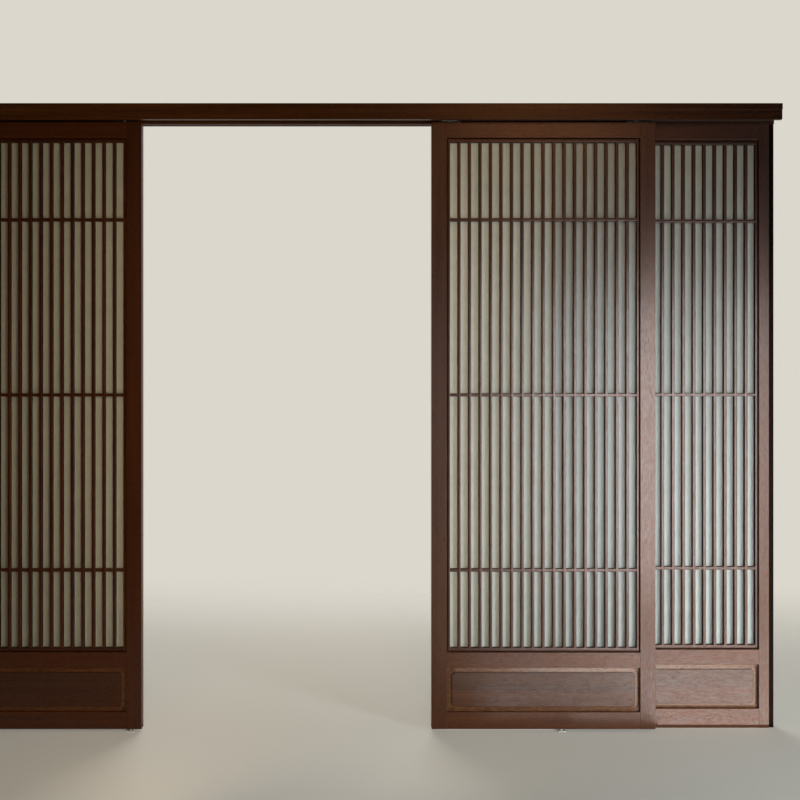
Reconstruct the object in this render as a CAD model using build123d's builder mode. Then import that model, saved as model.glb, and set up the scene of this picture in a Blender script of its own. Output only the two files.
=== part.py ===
from build123d import *
from math import sqrt
import os

os.makedirs("parts", exist_ok=True)

# A four-leaf wooden grille door with its frame. Two leaves stand fixed at the sides, and two hang in front
# of them from a track in the head and slide past. X runs along the track, Y goes from the front to the back,
# and Z is up from the floor. The origin is on the floor in the middle. A depth is measured back from the
# front face of the head. All sizes are in millimetres.

# Overall size
unit_width = 3400.0
unit_height = 2460.0

# Head, a fascia, a head board and a back rail round the track
fascia_thickness = 18.0
fascia_band_height = 25.0
fascia_band_step = 3.0
head_board_thickness = 18.0
track_front_gap = 11.0
track_back_gap = 1.0
back_rail_margin = 5.0
head_screw_hole = 5.0
head_screw_spacing_outer = 3000.0
head_screw_spacing_inner = 1000.0
head_screw_setback = 6.0

# Jambs at the two ends
jamb_width = 20.0
jamb_setback = 4.0

# Leaves, common sizes
leaf_thickness = 30.0
leaf_gap = 5.0
stile_width = 60.0
fixed_outer_stile_width = 40.0
top_rail_height = 60.0
mid_rail_height = 60.0
bottom_rail_height = 66.0
panel_opening_height = 175.0
arris = 0.8

# Where the leaves stand and hang
sliding_leaf_width = 880.0
sliding_floor_gap = 10.0
sliding_head_gap = 3.0
fixed_leaf_width = 860.0
meeting_gap = 1.5
wall_gap = 3.0
left_leaf_drawn = 14.0
right_leaf_drawn = 480.0

# Joints of the leaf frames
tenon_thickness = 10.0
tenon_length = 25.0
tenon_shoulder = 13.0
bottom_tenon_height = 31.0
mortise_clearance = 0.1
mortise_end_gap = 1.0
tongue_thickness = 12.0
tongue_height = 10.0
tongue_side_clearance = 0.2
tongue_top_clearance = 1.0

# Panel, raised on both faces
panel_groove_width = 6.0
panel_groove_depth = 8.0
panel_tongue_clearance = 0.1
panel_swelling_gap = 1.0
panel_field_setback = 4.0
panel_bevel_width = 20.0
panel_bevel_edge = 0.6
panel_quirk = 2.5
panel_edge_gap = 0.5
panel_field_corner = 16.0

# Lattice of half-lapped slats
slat_width = 12.0
slat_count = 17
lattice_setback = 4.0
lattice_thickness = 14.0
lattice_lip_thickness = 4.0
lattice_lip_clearance = 0.3
lattice_side_member = 9.0
lattice_end_member = 12.0
lattice_side_gap = 4.0
lattice_end_gap = 5.5
lattice_bar_width = 12.0
lattice_bar_spacing = 690.0

# Infill sheet and the beads that hold it
infill_thickness = 5.0
infill_edge_clearance = 1.0
rebate_width = 10.0
bead_edge = 1.5
bead_joint_gap = 0.3

# Track, an aluminium channel open below
track_wall = 2.2
track_lip_thickness = 2.4
track_end_gap = 2.0
track_screw_count = 8
track_screw_end_distance = 80.0
track_screw_shank = 4.0
track_screw_cover = 4.0
track_screw_head = 8.0
track_screw_head_height = 2.4
track_screw_hole_clearance = 0.5
screw_pilot_clearance = 0.1
screw_tip_length = 3.0
screw_slot_width = 1.0
screw_slot_depth = 1.2

# Stops in the track
stop_top_clearance = 1.0
stop_side_clearance = 0.4
stop_end_length = 28.0
buffer_length = 6.0
buffer_clearance = 0.5

# Carriages, two for each sliding leaf
hanger_inset = 72.0
carriage_length = 60.0
carriage_width = 11.0
carriage_slot_clearance = 1.0
carriage_below_track = 4.0
carriage_above_axle = 11.3
carriage_edge = 1.6
axle_spacing = 36.0
axle_radius = 2.5
axle_head_radius = 4.0
axle_head_length = 1.2
axle_end_play = 0.3
axle_wall_clearance = 1.6
wheel_radius = 10.0
wheel_width = 7.5
wheel_side_play = 0.7
wheel_bore_clearance = 0.05
wheel_track_clearance = 0.3
wheel_top_clearance = 4.7
wheel_edge = 0.6

# Hanger bolts, nuts and plates
bolt_radius = 4.0
bolt_clearance = 0.1
bolt_engagement = 20.0
bolt_end_gap = 1.0
bolt_head_height = 5.3
bolt_pocket_side_gap = 1.5
bolt_pocket_end_gap = 3.7
hex_across_flats = 13.0
lock_nut_height = 6.0
lock_nut_gap = 2.0
plate_thickness = 3.0
plate_length = 84.0
plate_width = 24.0
plate_corner = 4.0
plate_screw_spacing = 60.0
plate_screw_shank = 4.0
plate_screw_head = 7.6
plate_screw_length = 22.0

# Floor guides
guide_inset = 33.0
guide_base_length = 30.0
guide_base_width = 36.0
guide_base_thickness = 2.5
guide_base_corner = 3.0
guide_pin_radius = 4.5
guide_pin_entry = 14.0
guide_pin_edge = 1.2
guide_pin_side_clearance = 0.5
guide_pin_end_clearance = 2.0
guide_screw_hole = 4.2
guide_screw_spacing = 24.0
guide_countersink = 7.0

# The track's section, from the carriage that runs in it
axle_head_start = carriage_width / 2 + wheel_side_play + wheel_width + axle_end_play
axle_reach = axle_head_start + axle_head_length
track_inside_width = 2 * (axle_reach + axle_wall_clearance)
wheel_headroom = wheel_top_clearance + track_screw_head_height
track_inside_height = wheel_track_clearance + 2 * wheel_radius + wheel_headroom
track_width = track_inside_width + 2 * track_wall
track_height = track_inside_height + track_wall + track_lip_thickness
track_slot = carriage_width + 2 * carriage_slot_clearance
plate_to_track = lock_nut_height + lock_nut_gap + carriage_below_track
head_height = head_board_thickness + track_height + plate_to_track + plate_thickness - sliding_head_gap

# Levels above the floor
head_underside = unit_height - head_height
head_board_underside = unit_height - head_board_thickness
track_underside = head_board_underside - track_height
track_inside_top = head_board_underside - track_wall
running_surface = track_underside + track_lip_thickness
axle_level = running_surface + wheel_track_clearance + wheel_radius
sliding_top = head_underside - sliding_head_gap
lattice_opening_top = sliding_top - top_rail_height
bottom_rail_top = sliding_floor_gap + bottom_rail_height
mid_rail_bottom = bottom_rail_top + panel_opening_height
lattice_opening_bottom = mid_rail_bottom + mid_rail_height

# Depths behind the front of the head
sliding_centre = fascia_thickness + track_front_gap + track_width / 2
sliding_front = sliding_centre - leaf_thickness / 2
back_rail_front = sliding_centre + track_width / 2 + track_back_gap
fixed_front = sliding_front + leaf_thickness + leaf_gap
fixed_centre = fixed_front + leaf_thickness / 2
unit_depth = fixed_front + leaf_thickness + back_rail_margin
rebate_start = lattice_setback + lattice_thickness
bead_thickness = leaf_thickness - rebate_start - infill_thickness

# Places along the track
fixed_outer_edge = unit_width / 2 - jamb_width
fixed_inner_edge = fixed_outer_edge - fixed_leaf_width
open_outer_edge = unit_width / 2 - wall_gap
open_inner_edge = open_outer_edge - sliding_leaf_width
left_inner_edge = -open_inner_edge + left_leaf_drawn
right_inner_edge = open_inner_edge - right_leaf_drawn
guide_distance = open_inner_edge + guide_inset

# Grooves that follow the pins and tongues in them
guide_groove_width = 2 * (guide_pin_radius + guide_pin_side_clearance)
guide_groove_depth = guide_pin_entry + guide_pin_end_clearance
head_groove_width = tongue_thickness + 2 * tongue_side_clearance
head_groove_depth = tongue_height + tongue_top_clearance
bolt_pocket_radius = hex_across_flats / sqrt(3) + bolt_pocket_side_gap
bolt_pocket_depth = bolt_head_height + bolt_pocket_end_gap


def behind(depth):
    """The Y of a point so far behind the front of the head."""
    return depth - unit_depth / 2


def block(x0, x1, d0, d1, z0, z1, mode=Mode.ADD):
    """A block from x0 to x1, between two depths and two levels."""
    with Locations(((x0 + x1) / 2, behind((d0 + d1) / 2), (z0 + z1) / 2)):
        Box(x1 - x0, d1 - d0, z1 - z0, mode=mode)


def facing_front(depth):
    """A plane at this depth whose X is along the track and Y is up. Its normal points to the front."""
    return Plane(origin=(0, behind(depth), 0), x_dir=(1, 0, 0), z_dir=(0, -1, 0))


def facing_back(depth):
    """A plane at this depth whose Y is up and whose normal points to the back. Its X is reversed."""
    return Plane(origin=(0, behind(depth), 0), x_dir=(-1, 0, 0), z_dir=(0, 1, 0))


def write(piece, name):
    """Labels a finished piece and writes its file."""
    piece.part.label = name
    export_step(piece.part, f"parts/{name}.step")


# Head board, the top of the head, with the holes for its own screws and for the track's
track_screw_span = unit_width - 2 * track_screw_end_distance
track_screw_pitch = track_screw_span / (track_screw_count - 1)
with BuildPart() as head_board:
    block(-unit_width / 2, unit_width / 2, fascia_thickness, unit_depth, head_board_underside, unit_height)
    head_screw_y = behind(fascia_thickness + head_screw_setback)
    with Locations((0, head_screw_y, unit_height)):
        with GridLocations(head_screw_spacing_outer, 0, 2, 1):
            Hole(head_screw_hole / 2, head_board_thickness)
        with GridLocations(head_screw_spacing_inner, 0, 2, 1):
            Hole(head_screw_hole / 2, head_board_thickness)
    track_screw_bite = head_board_thickness - track_screw_cover
    pilot_depth = track_screw_bite + screw_pilot_clearance
    with Locations((0, behind(sliding_centre), head_board_underside + pilot_depth / 2)):
        with GridLocations(track_screw_pitch, 0, track_screw_count, 1):
            Cylinder(track_screw_shank / 2 + screw_pilot_clearance, pilot_depth, mode=Mode.SUBTRACT)
write(head_board, "head_board")

# Fascia, with an upper band that stands proud of the lower one
with BuildPart() as head_fascia:
    with BuildSketch(Plane.YZ.offset(-unit_width / 2)):
        with BuildLine():
            Polyline(
                (behind(0), unit_height),
                (behind(fascia_thickness), unit_height),
                (behind(fascia_thickness), head_underside),
                (behind(fascia_band_step), head_underside),
                (behind(fascia_band_step), unit_height - fascia_band_height),
                (behind(0), unit_height - fascia_band_height),
                close=True,
            )
        make_face()
    extrude(amount=unit_width)
    front_edges = head_fascia.edges().filter_by(Axis.X).group_by(Axis.Y)[0]
    chamfer(front_edges, arris)
write(head_fascia, "head_fascia")

# Back rail of the head, grooved below for the fixed leaves
with BuildPart() as head_back_rail:
    block(-unit_width / 2, unit_width / 2, back_rail_front, unit_depth, head_underside, head_board_underside)
    block(
        -fixed_outer_edge,
        fixed_outer_edge,
        fixed_centre - head_groove_width / 2,
        fixed_centre + head_groove_width / 2,
        head_underside,
        head_underside + head_groove_depth,
        mode=Mode.SUBTRACT,
    )
write(head_back_rail, "head_back_rail")

# Jambs, slim posts at the two ends, outside the fixed leaves
for side, name in ((-1, "left_jamb"), (1, "right_jamb")):
    x_edges = sorted((side * fixed_outer_edge, side * unit_width / 2))
    with BuildPart() as jamb:
        block(*x_edges, fixed_front + jamb_setback, unit_depth, 0, head_underside)
        chamfer(jamb.edges().filter_by(Axis.Z).group_by(Axis.Y)[0], arris)
    write(jamb, name)

# Track, a channel with two inward lips that the wheels run on
track_length = unit_width - 2 * track_end_gap
with BuildPart() as track:
    block(
        -track_length / 2,
        track_length / 2,
        sliding_centre - track_width / 2,
        sliding_centre + track_width / 2,
        track_underside,
        head_board_underside,
    )
    block(
        -track_length / 2,
        track_length / 2,
        sliding_centre - track_inside_width / 2,
        sliding_centre + track_inside_width / 2,
        running_surface,
        track_inside_top,
        mode=Mode.SUBTRACT,
    )
    block(
        -track_length / 2,
        track_length / 2,
        sliding_centre - track_slot / 2,
        sliding_centre + track_slot / 2,
        track_underside,
        running_surface,
        mode=Mode.SUBTRACT,
    )
    with Locations((0, behind(sliding_centre), head_board_underside - track_wall / 2)):
        with GridLocations(track_screw_pitch, 0, track_screw_count, 1):
            Cylinder((track_screw_shank + track_screw_hole_clearance) / 2, track_wall, mode=Mode.SUBTRACT)
write(track, "track")

# Screws that hold the track up to the head board
with BuildPart() as track_screws:
    head_bottom = track_inside_top - track_screw_head_height
    shank_length = track_wall + track_screw_bite - screw_tip_length
    with Locations((0, behind(sliding_centre), 0)):
        with GridLocations(track_screw_pitch, 0, track_screw_count, 1):
            with Locations((0, 0, head_bottom + track_screw_head_height / 2)):
                Cylinder(track_screw_head / 2, track_screw_head_height)
            with Locations((0, 0, track_inside_top + shank_length / 2)):
                Cylinder(track_screw_shank / 2, shank_length)
            with Locations((0, 0, track_inside_top + shank_length + screw_tip_length / 2)):
                Cone(track_screw_shank / 2, track_screw_shank / 8, screw_tip_length)
            with Locations((0, 0, head_bottom + screw_slot_depth / 2)):
                Box(screw_slot_width, track_screw_head, screw_slot_depth, mode=Mode.SUBTRACT)
write(track_screws, "track_screws")

# Stop blocks in the track, one at each end and one in the middle, with rubber buffers on their faces
closed_inner_face = meeting_gap + hanger_inset - carriage_length / 2 - buffer_clearance
open_outer_face = open_outer_edge - hanger_inset + carriage_length / 2 + buffer_clearance
stop_top = track_inside_top - track_screw_head_height - stop_top_clearance
stop_depths = (
    sliding_centre - track_inside_width / 2 + stop_side_clearance,
    sliding_centre + track_inside_width / 2 - stop_side_clearance,
)
with BuildPart() as track_stops:
    middle_reach = closed_inner_face - buffer_length
    block(-middle_reach, middle_reach, *stop_depths, running_surface, stop_top)
    for side in (-1, 1):
        block_start = open_outer_face + buffer_length
        block_faces = sorted((side * block_start, side * (block_start + stop_end_length)))
        block(*block_faces, *stop_depths, running_surface, stop_top)
write(track_stops, "track_stops")

with BuildPart() as stop_buffers:
    for side in (-1, 1):
        for start in (closed_inner_face - buffer_length, open_outer_face):
            buffer_faces = sorted((side * start, side * (start + buffer_length)))
            block(*buffer_faces, *stop_depths, running_surface, stop_top)
write(stop_buffers, "stop_buffers")

# Floor guides, a pin on a screwed base under each sliding leaf
with BuildPart() as floor_guides:
    guide_y = behind(sliding_centre)
    with BuildSketch(Plane.XY):
        with Locations((0, guide_y)):
            with GridLocations(2 * guide_distance, 0, 2, 1):
                RectangleRounded(guide_base_length, guide_base_width, guide_base_corner)
    extrude(amount=guide_base_thickness)
    pin_top = sliding_floor_gap + guide_pin_entry
    with BuildSketch(Plane.XY.offset(guide_base_thickness)):
        with Locations((0, guide_y)):
            with GridLocations(2 * guide_distance, 0, 2, 1):
                Circle(guide_pin_radius)
    extrude(amount=pin_top - guide_base_thickness)
    chamfer(floor_guides.faces().filter_by(Axis.Z).group_by(Axis.Z)[-1].edges(), guide_pin_edge)
    with Locations((0, guide_y, guide_base_thickness)):
        with GridLocations(2 * guide_distance, guide_screw_spacing, 2, 2):
            CounterSinkHole(guide_screw_hole / 2, guide_countersink / 2, guide_base_thickness)
write(floor_guides, "floor_guides")


def tenon_span(rail_bottom, rail_top):
    """The levels between which a rail's tenon lies. In a bottom rail it clears the guide groove."""
    if rail_bottom < bottom_rail_top:
        return bottom_rail_top - bottom_tenon_height - tenon_shoulder, bottom_rail_top - tenon_shoulder
    return rail_bottom + tenon_shoulder, rail_top - tenon_shoulder


def centred_depths(front, width):
    """The two depths of something this wide in the middle of a leaf's thickness."""
    centre = front + leaf_thickness / 2
    return centre - width / 2, centre + width / 2


def hanger_places(leaf_edges):
    """The X of the two hangers of a leaf."""
    return leaf_edges[0] + hanger_inset, leaf_edges[1] - hanger_inset


def cut_hanger_seats(leaf_edges):
    """Sinks the pockets of the bolt heads and the holes of the plate screws into the top of a leaf."""
    pilot_radius = plate_screw_shank / 2 + screw_pilot_clearance
    for hanger_x in hanger_places(leaf_edges):
        with Locations((hanger_x, behind(sliding_centre), sliding_top - bolt_pocket_depth / 2)):
            Cylinder(bolt_pocket_radius, bolt_pocket_depth, mode=Mode.SUBTRACT)
        with Locations((hanger_x, behind(sliding_centre), sliding_top - plate_screw_length / 2)):
            with GridLocations(plate_screw_spacing, 0, 2, 1):
                Cylinder(pilot_radius, plate_screw_length, mode=Mode.SUBTRACT)


def make_stile(name, x0, x1, opening_side, leaf):
    """A full-height upright. opening_side is +1 where the lattice is past its high X edge, else -1."""
    front = leaf["front"]
    inner = x1 if opening_side > 0 else x0
    rails = (
        (lattice_opening_top, leaf["top"]),
        (mid_rail_bottom, lattice_opening_bottom),
        (leaf["bottom"], bottom_rail_top),
    )
    with BuildPart() as stile:
        block(x0, x1, front, front + leaf_thickness, leaf["bottom"], leaf["top"])
        chamfer(stile.edges().filter_by(Axis.Z), arris)
        block(
            *sorted((inner, inner - opening_side * rebate_width)),
            front + rebate_start,
            front + leaf_thickness,
            lattice_opening_bottom - rebate_width,
            lattice_opening_top + rebate_width,
            mode=Mode.SUBTRACT,
        )
        block(
            *sorted((inner, inner - opening_side * panel_groove_depth)),
            *centred_depths(front, panel_groove_width),
            bottom_rail_top - panel_groove_depth,
            mid_rail_bottom + panel_groove_depth,
            mode=Mode.SUBTRACT,
        )
        for rail_levels in rails:
            tenon_bottom, tenon_top = tenon_span(*rail_levels)
            block(
                *sorted((inner, inner - opening_side * (tenon_length + mortise_end_gap))),
                *centred_depths(front, tenon_thickness + 2 * mortise_clearance),
                tenon_bottom - mortise_clearance,
                tenon_top + mortise_clearance,
                mode=Mode.SUBTRACT,
            )
        if leaf["hangs"]:
            groove_top = leaf["bottom"] + guide_groove_depth
            guide_depths = centred_depths(front, guide_groove_width)
            block(x0, x1, *guide_depths, leaf["bottom"], groove_top, mode=Mode.SUBTRACT)
            cut_hanger_seats(leaf["edges"])
        else:
            block(x0, x1, *centred_depths(front, tongue_thickness), leaf["top"], leaf["top"] + tongue_height)
    write(stile, name)


def begin_rail(rail, x0, x1, leaf, rail_bottom, rail_top):
    """The body of a rail between two stiles, and its tenons."""
    block(x0, x1, leaf["front"], leaf["front"] + leaf_thickness, rail_bottom, rail_top)
    chamfer(rail.edges().filter_by(Axis.X), arris)
    tenon_depths = centred_depths(leaf["front"], tenon_thickness)
    block(x0 - tenon_length, x1 + tenon_length, *tenon_depths, *tenon_span(rail_bottom, rail_top))


def make_top_rail(name, x0, x1, leaf):
    """The top rail, rebated below for the sheet. It carries the hangers, or the tongue of a fixed leaf."""
    front = leaf["front"]
    with BuildPart() as rail:
        begin_rail(rail, x0, x1, leaf, lattice_opening_top, leaf["top"])
        rebate_top = lattice_opening_top + rebate_width
        back = front + leaf_thickness
        block(x0, x1, front + rebate_start, back, lattice_opening_top, rebate_top, mode=Mode.SUBTRACT)
        if leaf["hangs"]:
            cut_hanger_seats(leaf["edges"])
        else:
            block(x0, x1, *centred_depths(front, tongue_thickness), leaf["top"], leaf["top"] + tongue_height)
    write(rail, name)


def make_mid_rail(name, x0, x1, leaf):
    """The rail between lattice and panel, rebated above and grooved below."""
    front = leaf["front"]
    with BuildPart() as rail:
        begin_rail(rail, x0, x1, leaf, mid_rail_bottom, lattice_opening_bottom)
        rebate_bottom = lattice_opening_bottom - rebate_width
        back = front + leaf_thickness
        block(x0, x1, front + rebate_start, back, rebate_bottom, lattice_opening_bottom, mode=Mode.SUBTRACT)
        groove_depths = centred_depths(front, panel_groove_width)
        groove_top = mid_rail_bottom + panel_groove_depth
        block(x0, x1, *groove_depths, mid_rail_bottom, groove_top, mode=Mode.SUBTRACT)
    write(rail, name)


def make_bottom_rail(name, x0, x1, leaf):
    """The bottom rail, grooved above for the panel and, in a hanging leaf, below for the guide pin."""
    front = leaf["front"]
    with BuildPart() as rail:
        begin_rail(rail, x0, x1, leaf, leaf["bottom"], bottom_rail_top)
        groove_depths = centred_depths(front, panel_groove_width)
        groove_bottom = bottom_rail_top - panel_groove_depth
        block(x0, x1, *groove_depths, groove_bottom, bottom_rail_top, mode=Mode.SUBTRACT)
        if leaf["hangs"]:
            guide_depths = centred_depths(front, guide_groove_width)
            guide_top = leaf["bottom"] + guide_groove_depth
            block(x0, x1, *guide_depths, leaf["bottom"], guide_top, mode=Mode.SUBTRACT)
    write(rail, name)


def make_panel(name, x0, x1, front):
    """The bottom panel, raised and fielded on both faces. Its thin edges float in the frame's grooves.

    A step, the quirk, divides the field from the bevel round it."""
    width = x1 - x0 - 2 * panel_edge_gap
    height = panel_opening_height - 2 * panel_edge_gap
    field_width = width - 2 * panel_bevel_width
    field_height = height - 2 * panel_bevel_width
    centre_x = (x0 + x1) / 2
    centre_z = bottom_rail_top + panel_opening_height / 2
    tongue = panel_groove_depth - panel_swelling_gap
    tongue_depths = centred_depths(front, panel_groove_width - 2 * panel_tongue_clearance)
    field_rise = tongue_depths[0] - front - panel_field_setback
    bevel_rise = field_rise - panel_quirk
    corner_radius = panel_bevel_width + panel_field_corner
    faces = ((facing_front(tongue_depths[0]), centre_x), (facing_back(tongue_depths[1]), -centre_x))
    with BuildPart() as panel:
        block(x0 - tongue, x1 + tongue, *tongue_depths, bottom_rail_top - tongue, mid_rail_bottom + tongue)
        for plane, middle in faces:
            with BuildSketch(plane):
                with Locations((middle, centre_z)):
                    RectangleRounded(width, height, corner_radius)
            extrude(amount=bevel_rise)
        for ground in (panel.faces().sort_by(Axis.Y)[0], panel.faces().sort_by(Axis.Y)[-1]):
            chamfer(ground.edges(), panel_bevel_width, bevel_rise - panel_bevel_edge, reference=ground)
        for plane, middle in faces:
            with BuildSketch(plane):
                with Locations((middle, centre_z)):
                    RectangleRounded(field_width, field_height, panel_field_corner)
            extrude(amount=field_rise)
    write(panel, name)


def make_lattice(name, x0, x1, front):
    """The grille, slats and bars half-lapped flush, with a thin lip behind its outer members."""
    centre = ((x0 + x1) / 2, (lattice_opening_bottom + lattice_opening_top) / 2)
    opening_width = x1 - x0
    opening_height = lattice_opening_top - lattice_opening_bottom
    outer_width = opening_width - 2 * lattice_side_gap
    outer_height = opening_height - 2 * lattice_end_gap
    inner_width = outer_width - 2 * lattice_side_member
    inner_height = outer_height - 2 * lattice_end_member
    lip_width = opening_width - 2 * lattice_lip_clearance
    lip_height = opening_height - 2 * lattice_lip_clearance
    gap_width = (inner_width - slat_count * slat_width) / (slat_count + 1)
    row_edges = [-inner_height / 2]
    for bar in (-lattice_bar_spacing, 0, lattice_bar_spacing):
        row_edges += [bar - lattice_bar_width / 2, bar + lattice_bar_width / 2]
    row_edges.append(inner_height / 2)
    with BuildPart() as lattice:
        with BuildSketch(facing_front(front + rebate_start)):
            with Locations(centre):
                Rectangle(outer_width, outer_height)
            for row_bottom, row_top in zip(row_edges[0::2], row_edges[1::2]):
                with Locations((centre[0], centre[1] + (row_bottom + row_top) / 2)):
                    with GridLocations(gap_width + slat_width, 0, slat_count + 1, 1):
                        Rectangle(gap_width, row_top - row_bottom, mode=Mode.SUBTRACT)
        extrude(amount=lattice_thickness)
        with BuildSketch(facing_front(front + rebate_start)):
            with Locations(centre):
                Rectangle(lip_width, lip_height)
                Rectangle(inner_width, inner_height, mode=Mode.SUBTRACT)
        extrude(amount=lattice_lip_thickness)
    write(lattice, name)


def make_infill(name, x0, x1, front):
    """The translucent sheet behind the grille, in the rebate of the frame."""
    reach = rebate_width - infill_edge_clearance
    sheet_depths = (front + rebate_start, front + rebate_start + infill_thickness)
    sheet_levels = (lattice_opening_bottom - reach, lattice_opening_top + reach)
    with BuildPart() as infill:
        block(x0 - reach, x1 + reach, *sheet_depths, *sheet_levels)
    write(infill, name)


def make_beads(name, x0, x1, front):
    """Four wooden beads that hold the sheet in from the back."""
    depths = (front + leaf_thickness - bead_thickness, front + leaf_thickness)
    rebate_bottom = lattice_opening_bottom - rebate_width
    rebate_top = lattice_opening_top + rebate_width
    bead_ends = (x0 + bead_joint_gap, x1 - bead_joint_gap)
    with BuildPart() as beads:
        block(x0 - rebate_width, x0, *depths, rebate_bottom, rebate_top)
        block(x1, x1 + rebate_width, *depths, rebate_bottom, rebate_top)
        block(*bead_ends, *depths, rebate_bottom, lattice_opening_bottom)
        block(*bead_ends, *depths, lattice_opening_top, rebate_top)
        back_faces = beads.faces().filter_by(Axis.Y).group_by(Axis.Y)[-1]
        chamfer(back_faces.edges(), bead_edge)
    write(beads, name)


def make_leaf(prefix, leaf):
    """One leaf, from its two stiles to its beads. Its inner stile is the one towards the doorway."""
    x0, x1 = leaf["edges"]
    stile_widths = {"inner": stile_width, "outer": leaf["outer_stile_width"]}
    order = ("outer", "inner") if prefix.startswith("left") else ("inner", "outer")
    opening = (x0 + stile_widths[order[0]], x1 - stile_widths[order[1]])
    make_stile(f"{prefix}_{order[0]}_stile", x0, opening[0], 1, leaf)
    make_stile(f"{prefix}_{order[1]}_stile", opening[1], x1, -1, leaf)
    make_top_rail(f"{prefix}_top_rail", *opening, leaf)
    make_mid_rail(f"{prefix}_mid_rail", *opening, leaf)
    make_bottom_rail(f"{prefix}_bottom_rail", *opening, leaf)
    make_panel(f"{prefix}_panel", *opening, leaf["front"])
    make_lattice(f"{prefix}_lattice", *opening, leaf["front"])
    make_infill(f"{prefix}_infill", *opening, leaf["front"])
    make_beads(f"{prefix}_beads", *opening, leaf["front"])


def make_carriages(name, leaf_edges):
    """The two carriages of a leaf, each a block with its two axles riveted through it."""
    body_bottom = track_underside - carriage_below_track
    body_top = axle_level + carriage_above_axle
    bore_depth = bolt_engagement + bolt_end_gap
    centre_y = behind(sliding_centre)
    with BuildPart() as carriages:
        for hanger_x in hanger_places(leaf_edges):
            with Locations((hanger_x, centre_y, (body_bottom + body_top) / 2)):
                Box(carriage_length, carriage_width, body_top - body_bottom)
        chamfer(carriages.edges().filter_by(Axis.Y), carriage_edge)
        for hanger_x in hanger_places(leaf_edges):
            with Locations((hanger_x, centre_y, body_bottom + bore_depth / 2)):
                Cylinder(bolt_radius + bolt_clearance, bore_depth, mode=Mode.SUBTRACT)
            with Locations((hanger_x, centre_y, axle_level)):
                with GridLocations(axle_spacing, 0, 2, 1):
                    Cylinder(axle_radius, 2 * axle_reach, rotation=(90, 0, 0))
                with GridLocations(axle_spacing, 2 * axle_head_start + axle_head_length, 2, 2):
                    Cylinder(axle_head_radius, axle_head_length, rotation=(90, 0, 0))
    write(carriages, name)


def make_wheels(name, axle_x):
    """The pair of wheels on one axle, one over each lip of the track."""
    wheel_gauge = carriage_width + 2 * wheel_side_play + wheel_width
    with BuildPart() as wheels:
        with Locations((axle_x, behind(sliding_centre), axle_level)):
            with GridLocations(0, wheel_gauge, 1, 2):
                Cylinder(wheel_radius, wheel_width, rotation=(90, 0, 0))
        chamfer(wheels.edges().filter_by(GeomType.CIRCLE), wheel_edge)
        with Locations((axle_x, behind(sliding_centre), axle_level)):
            with GridLocations(0, wheel_gauge, 1, 2):
                bore_radius = axle_radius + wheel_bore_clearance
                Cylinder(bore_radius, wheel_width, rotation=(90, 0, 0), mode=Mode.SUBTRACT)
    write(wheels, name)


def make_hanger_plates(name, leaf_edges):
    """The plates on the top edge of a leaf that the hanger bolts pass through."""
    with BuildPart() as plates:
        for hanger_x in hanger_places(leaf_edges):
            with BuildSketch(Plane.XY.offset(sliding_top)):
                with Locations((hanger_x, behind(sliding_centre))):
                    RectangleRounded(plate_length, plate_width, plate_corner)
                    Circle(bolt_radius + bolt_clearance, mode=Mode.SUBTRACT)
            extrude(amount=plate_thickness)
        for hanger_x in hanger_places(leaf_edges):
            with Locations((hanger_x, behind(sliding_centre), sliding_top + plate_thickness)):
                with GridLocations(plate_screw_spacing, 0, 2, 1):
                    CounterSinkHole(
                        plate_screw_shank / 2 + screw_pilot_clearance,
                        plate_screw_head / 2 + screw_pilot_clearance,
                        plate_thickness,
                    )
    write(plates, name)


def make_hanger_fasteners(name, leaf_edges):
    """The hanger bolts with their lock nuts, and the screws of the plates."""
    centre_y = behind(sliding_centre)
    plate_top = sliding_top + plate_thickness
    bolt_top = track_underside - carriage_below_track + bolt_engagement
    hex_radius = hex_across_flats / 2
    head_rise = (plate_screw_head - plate_screw_shank) / 2
    straight_shank = plate_screw_length - screw_tip_length - head_rise
    with BuildPart() as fasteners:
        for hanger_x in hanger_places(leaf_edges):
            with BuildSketch(Plane.XY.offset(sliding_top - bolt_head_height)):
                with Locations((hanger_x, centre_y)):
                    RegularPolygon(hex_radius, 6, major_radius=False)
            extrude(amount=bolt_head_height)
            with BuildSketch(Plane.XY.offset(sliding_top)):
                with Locations((hanger_x, centre_y)):
                    Circle(bolt_radius)
            extrude(amount=bolt_top - sliding_top)
            with BuildSketch(Plane.XY.offset(plate_top)):
                with Locations((hanger_x, centre_y)):
                    RegularPolygon(hex_radius, 6, major_radius=False)
                    Circle(bolt_radius + bolt_clearance, mode=Mode.SUBTRACT)
            extrude(amount=lock_nut_height)
            with Locations((hanger_x, centre_y, plate_top)):
                with GridLocations(plate_screw_spacing, 0, 2, 1):
                    with Locations((0, 0, -head_rise / 2)):
                        Cone(plate_screw_shank / 2, plate_screw_head / 2, head_rise)
                    with Locations((0, 0, -head_rise - straight_shank / 2)):
                        Cylinder(plate_screw_shank / 2, straight_shank)
                    with Locations((0, 0, screw_tip_length / 2 - plate_screw_length)):
                        Cone(plate_screw_shank / 8, plate_screw_shank / 2, screw_tip_length)
                    with Locations((0, 0, -screw_slot_depth / 2)):
                        Box(screw_slot_width, plate_screw_head, screw_slot_depth, mode=Mode.SUBTRACT)
    write(fasteners, name)


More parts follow.
